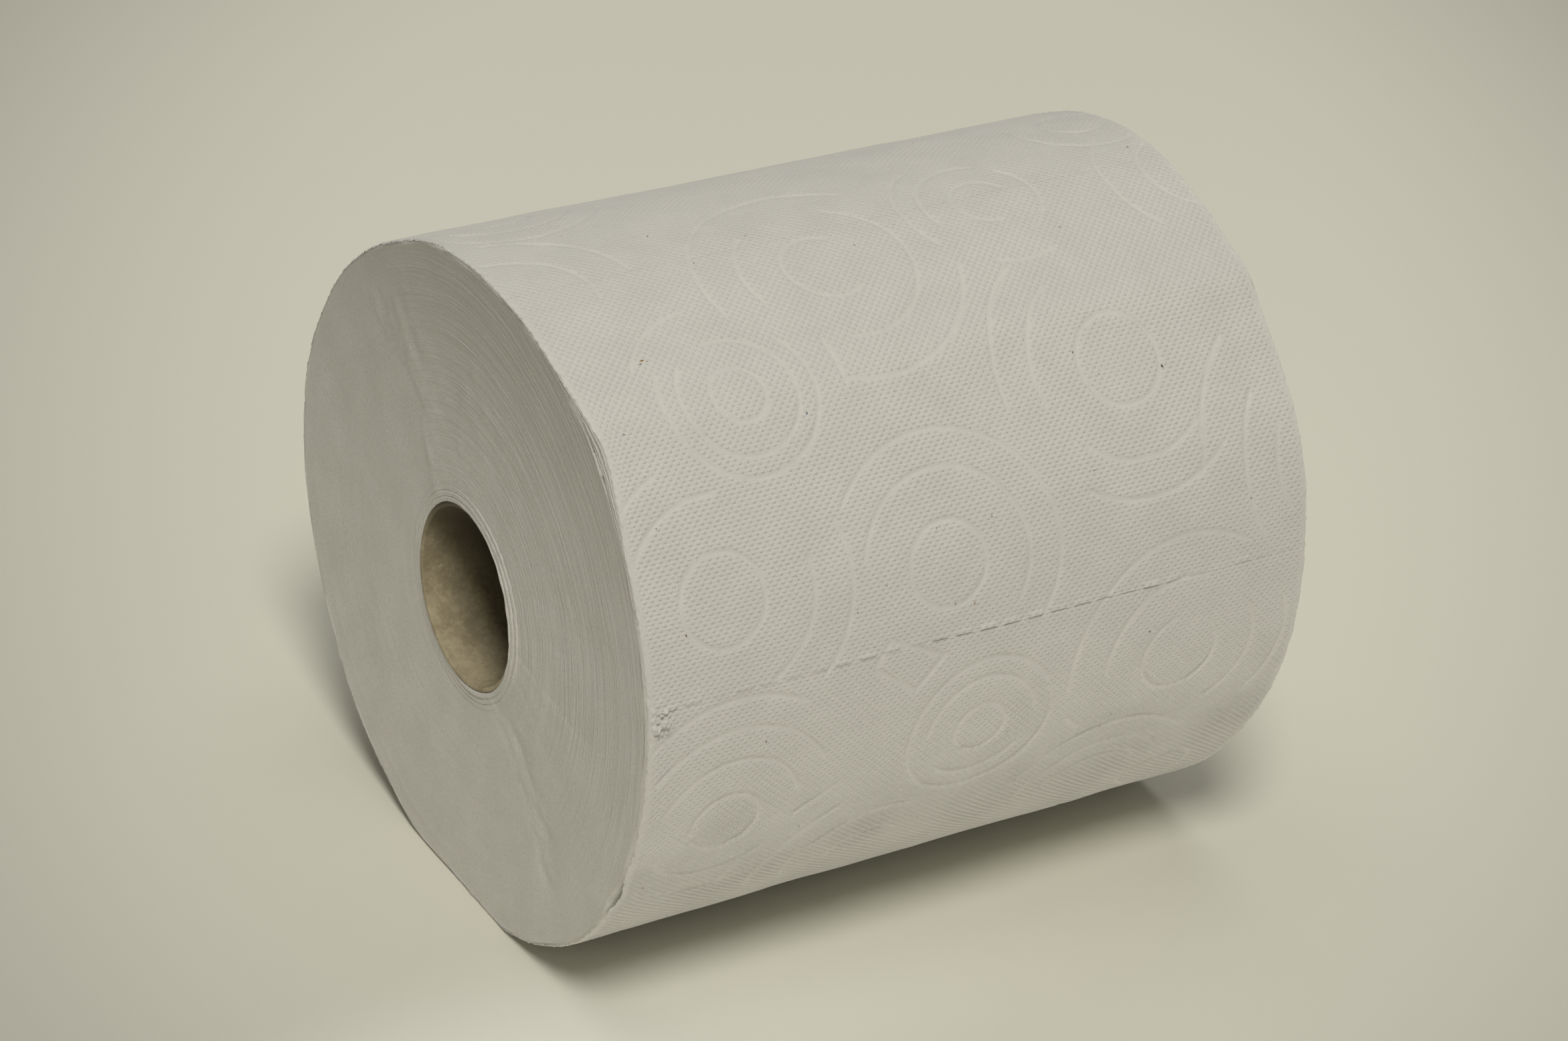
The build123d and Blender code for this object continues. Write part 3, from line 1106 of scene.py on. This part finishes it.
def lay_specks():
    """All the specks as one mesh of flat ragged flakes."""
    draw = np.random.default_rng(93)
    points, faces, tints = [], [], []
    turn = np.arange(speck_corners) * 2 * np.pi / speck_corners
    for x, s, length, tint in seen_specks + scattered_specks():
        heading, slim = draw.uniform(0, np.pi), draw.uniform(0.3, 0.5)
        ragged = draw.uniform(0.7, 1.15, speck_corners) * length / 2
        along, across = ragged * np.cos(turn), ragged * slim * np.sin(turn)
        at_x = x - half_width + along * np.cos(heading) - across * np.sin(heading)
        at_s = s + along * np.sin(heading) + across * np.cos(heading)
        radius = bare_radius(at_x, at_s) + speck_lift
        faces.append(np.arange(speck_corners)[::-1] + len(points) * speck_corners)
        points.append(on_roll(at_x, np.degrees(at_s / mean_radius), radius))
        tints.append(np.full(speck_corners, tint))
    marks = {"tint": np.array(tints)}
    points, faces = np.array(points), np.array(faces)
    lay_mesh("specks", points, faces, speck_finish(), "paper_web", marks=marks)


lay_specks()

# %% [markdown]
# A saw leaves fluff on tissue. Hair particles could stand for it, but they don't leave Blender with the
# model. So short fibres stand up round the mouth of the core and along both edges, each as a narrow
# ribbon in three steps that bends as it rises, drawn with a seed.

# %% Loose fibres
fibre_counts = {-1: 700, 1: 300}
fibre_half_width = 0.035
ribbon_steps = 3


def ribbon(draw, root, lift, side, length):
    """The edge points of one fibre from a root point, that rises along lift and drifts to the side."""
    bend = draw.normal(0, 0.5, 3)
    points = []
    for step in range(ribbon_steps + 1):
        share = step / ribbon_steps
        middle = root + length * (lift * share + side * share**2 * 0.6 + bend * share**2 * 0.3)
        half = side * fibre_half_width * (1 - 0.8 * share)
        points += [middle - half, middle + half]
    return points


def one_fibre(draw, end):
    """A fibre at the hole or at the outer edge of an end."""
    angle = draw.normal(80, 18) if draw.random() < 0.3 else draw.uniform(0, 360)
    at_hole = draw.random() < 0.35
    if at_hole:
        radius = tube_radius + 0.1 + draw.random() * 1.5
    else:
        s = unrolled(angle if angle > tail_angle else angle + 360)
        radius = float(bare_radius(np.array(end * half_width), np.array(s))) - draw.random() * 1.2
    root = on_roll(end * (half_width - 0.15), angle, radius)
    root[2] = max(root[2], 0.1)
    out = np.array([0, *polar(angle, -1.0 if at_hole else 0.4)])
    lift = out * draw.uniform(0.1, 0.9) + np.array([end * draw.uniform(0.2, 0.8), 0, 0])
    side = np.array([0, *polar(angle + 90, 1.0)]) * draw.choice([-1, 1])
    return ribbon(draw, root, lift, side, 0.25 + 0.8 * draw.random() ** 3)


def lay_fibres():
    """All the fibres as one mesh."""
    draw = np.random.default_rng(97)
    ribbons = [one_fibre(draw, end) for end, count in fibre_counts.items() for _ in range(count)]
    points = np.array(ribbons).reshape(-1, 3)
    points[:, 2] = np.maximum(points[:, 2], floor_gap)
    first = np.arange(len(points)).reshape(-1, ribbon_steps + 1, 2)[:, :-1, :1].reshape(-1, 1)
    faces = first + np.array([0, 1, 3, 2])
    lay_mesh("loose_fibres", points, faces, paper, "paper_web")


lay_fibres()

# %% [markdown]
# The core is a tube of grey-brown board, wound from two strips in a spiral. Flecks of pulp show in it.
# Hardly any light gets far into the bore, so it darkens within a few centimetres, sooner along its top
# than along its bottom. A light could be blocked to get that, but a colour that falls off along the bore
# keeps it in the model.

# %% The board of the core
dark_board, light_board = colour(142, 131, 103), colour(174, 162, 132)
pale_fleck, bore_dark = colour(205, 195, 165), colour(92, 84, 67)
lit_from, lit_full = 0.080, 0.100


def board_finish():
    finish = Finish("core_board")
    place = finish.node("TexCoord").out("Object")
    clouds = finish.noise(place, 110, 3)
    pulp = finish.noise(place, 700, 3, 0.6)
    flecks = finish.noise(place, 1100, 1).above(0.68, 0.74)
    shade = clouds * 0.6 + pulp * 0.4
    tone = finish.mix(shade.above(0.35, 0.65), dark_board, light_board)
    tone = finish.mix(flecks * 0.4, tone, pale_fleck)
    spot = finish.node("SeparateXYZ", {}, {0: place})
    from_middle = finish.maths("ABSOLUTE", spot.out("X"))
    above_axis = spot.out("Z") - axis_height * MM
    near_mouth = (from_middle - above_axis).above(lit_from, lit_full)
    tone = finish.mix(near_mouth, bore_dark, tone)
    height = pulp * 0.12 + clouds * 0.1
    return finish.shade(tone, 0.85 - pulp * 0.1, height, {"Specular IOR Level": 0.25})


board = board_finish()
print("finish:", board.name)

# %% [markdown]
# The tube sits a little inside the paper, its rim shows the cut board, and its bore has the faint step
# of the spiral seam. Two cylinders and a boolean would make it. One profile of x and radius, turned about
# the axis, makes it too, and can be bent: the near rim slants, and lies nearly flush at its lower back.

# %% The core tube
tube_wall = 1.5
seam_pitch = 92.0
seam_height = 0.16
tube_rings, tube_sides = 66, 128
rim_slant, slant_angle = 0.95, 320
rim_profile = [(0.12, 0.12), (0.0, 0.4)]
outer_profile = [(0.0, 0.25), (0.2, 0.02)]


def tube_profile():
    """The outline of the tube's wall as x and radius, from its near mouth through the bore and back."""
    bore = tube_radius - tube_wall
    along = np.linspace(-tube_half + 0.5, tube_half - 0.5, tube_rings)
    mouth = [(tube_half - back, bore + up) for back, up in rim_profile]
    mouth += [(tube_half - back, tube_radius - down) for back, down in outer_profile]
    near_mouth = [(-x, radius) for x, radius in mouth[::-1]]
    return np.array([(x, bore) for x in along] + mouth + [(0, mouth[-1][1])] + near_mouth)


def lay_tube():
    """The tube as one closed ring of points round its wall, turned about the axis."""
    profile = tube_profile()
    angle = np.arange(tube_sides) * 360 / tube_sides
    x, around_it = np.meshgrid(profile[:, 0], angle)
    radius = np.repeat(profile[None, :, 1], len(angle), 0)
    near_share = np.clip(-x / tube_half, 0, 1) ** 8
    x = x - near_share * rim_slant * (1 + np.cos(np.radians(around_it - slant_angle)))
    inside = radius < tube_radius - tube_wall + 0.05
    seam = (x / seam_pitch * 360 - around_it) % 360
    step = seam_height * np.exp(-((seam / 5) ** 2)) + 0.05 * (seam / 360)
    radius = radius + np.where(inside, step + 0.12 * waves(around_it, x, 60, 81), 0)
    points = on_roll(x, around_it, radius)
    number = np.arange(x.size).reshape(x.shape)
    after, beside_it = np.roll(number, -1, 0), np.roll(number, -1, 1)
    faces = np.stack([number, beside_it, np.roll(after, -1, 1), after], -1).reshape(-1, 4)
    lay_mesh("core_tube_board", points, faces, board, "core_tube")


lay_tube()

# %% [markdown]
# The stage is a plain pale floor. A studio backdrop could curve up behind the roll, but the camera looks
# down, so a flat floor fills the frame. For the light that it throws back onto the roll, the floor is
# painted white near the roll and darker further off, which is painted light and shade. To the camera the
# floor is toned down, darkens towards the corners with painted shade, as through a long lens, and has a
# painted pool of light just before the near end.

# %% The floor
floor_half = 4.0
# The floor's corner colour is painted shade and its third colour a painted pool of light. The two bounce
# colours are painted light and shade that only bounced light sees.
floor_middle, floor_painted_corner_shade, floor_painted_light = colour(224, 223, 207), colour(155, 153, 144), colour(232, 231, 219)
bounce_near, bounce_far = colour(251, 249, 239), colour(104, 101, 94)
turned_x, turned_y = 0.866, 0.5
corner_shade_across, corner_shade_away = 0.43, 0.744
painted_light_across, painted_light_away = 0.17, 0.06


def floor_finish():
    finish = Finish("pale_floor")
    place = finish.node("TexCoord").out("Object")
    spot = finish.node("SeparateXYZ", {}, {0: place})
    x, y = spot.out("X"), spot.out("Y")
    across = (x * turned_x - y * turned_y - 0.026) * (1 / corner_shade_across)
    away = (x * turned_y + y * turned_x - 0.347) * (1 / corner_shade_away)
    # Painted shade: the floor that the camera sees darkens towards the corners.
    painted_corner_shade = finish.length(across, away).above(0.35, 1.18)
    seen = finish.mix(painted_corner_shade, floor_middle, floor_painted_corner_shade)
    # A painted pool of light on the floor just before the near end.
    painted_light_x, painted_light_y = (x + 0.085) * (1 / painted_light_across), (y + 0.085) * (1 / painted_light_away)
    painted_light = finish.length(painted_light_x, painted_light_y).above(1.0, 0.0)
    seen = finish.mix(painted_light, seen, floor_painted_light)
    # Painted light and shade for bounced light only: white near the roll, darker further off.
    room = finish.length(x, y).above(0.40, 0.95)
    bounced = finish.mix(room, bounce_near, bounce_far)
    camera_ray = finish.node("LightPath").out("Is Camera Ray")
    tone = finish.mix(camera_ray, bounced, seen)
    return finish.shade(tone, 0.8, 0.0, {"Specular IOR Level": 0.2})


floor_mesh = bpy.data.meshes.new("floor")
corners = [(-floor_half, -floor_half, 0), (floor_half, -floor_half, 0)]
corners += [(floor_half, floor_half, 0), (-floor_half, floor_half, 0)]
floor_mesh.from_pydata(corners, [], [(0, 1, 2, 3)])
floor_mesh.materials.append(floor_finish())
floor = bpy.data.objects.new("floor", floor_mesh)
bpy.context.scene.collection.objects.link(floor)
print("floor", 2 * floor_half, "m wide")

# %% [markdown]
# One sun would give a hard shadow. The photo's is soft and short, so a large soft lamp hangs above, a
# little to the left and in front, with a weaker and wider ceiling over it, and a faint one stands in
# front for the light of the room. A dim world fills what they leave.

# %% Light
def hang_lamp(name, toward, distance, size, energy, tint):
    """An oval soft lamp, of a width and a height, that hangs at a distance and shines at the roll."""
    data = bpy.data.lights.new(name, "AREA")
    data.shape = "ELLIPSE"
    data.size, data.size_y = size
    data.energy = energy
    data.color = tint
    lamp = bpy.data.objects.new(name, data)
    aim = Vector(toward).normalized()
    lamp.location = aim * distance
    lamp.rotation_euler = aim.to_track_quat("Z", "Y").to_euler()
    bpy.context.scene.collection.objects.link(lamp)


world = bpy.data.worlds.new("dim_room")
world.use_nodes = True
world.node_tree.nodes["Background"].inputs["Color"].default_value = colour(250, 248, 245)
world.node_tree.nodes["Background"].inputs["Strength"].default_value = 0.13
bpy.context.scene.world = world
hang_lamp("soft_lamp", (-0.24, -0.48, 0.85), 4.4, (1.1, 1.4), 100, (1.0, 0.975, 0.93))
hang_lamp("ceiling", (0.0, 0.1, 1.0), 4.4, (3.6, 3.6), 54, (1.0, 0.985, 0.95))
hang_lamp("room_in_front", (-0.1, -0.95, 0.12), 4.0, (3.0, 1.0), 8, (1.0, 0.985, 0.95))
print("3 lamps and a dim world")

# %% [markdown]
# A camera could be pointed with a tracking constraint. Here its own axes are given instead, worked out
# from the ellipses of the near end and the hole, so that the roll fills the frame as in the photo.

# %% Camera
camera_data = bpy.data.cameras.new("camera")
camera_data.lens = 110.5
camera_data.sensor_width = 36
camera = bpy.data.objects.new("camera", camera_data)
camera_right = Vector((0.8641, -0.5000, 0.0573))
camera_up = Vector((0.2107, 0.4629, 0.8610))
camera_back = Vector((-0.4570, -0.7319, 0.5054))
camera_place = Vector((-604.3, -963.9, 756.1)) * MM
axes = Matrix((camera_right, camera_up, camera_back)).transposed().to_4x4()
camera.matrix_world = Matrix.Translation(camera_place) @ axes
bpy.context.scene.collection.objects.link(camera)
bpy.context.scene.camera = camera
bpy.context.scene.view_settings.view_transform = "Standard"
print("camera", [round(c, 3) for c in camera_place])
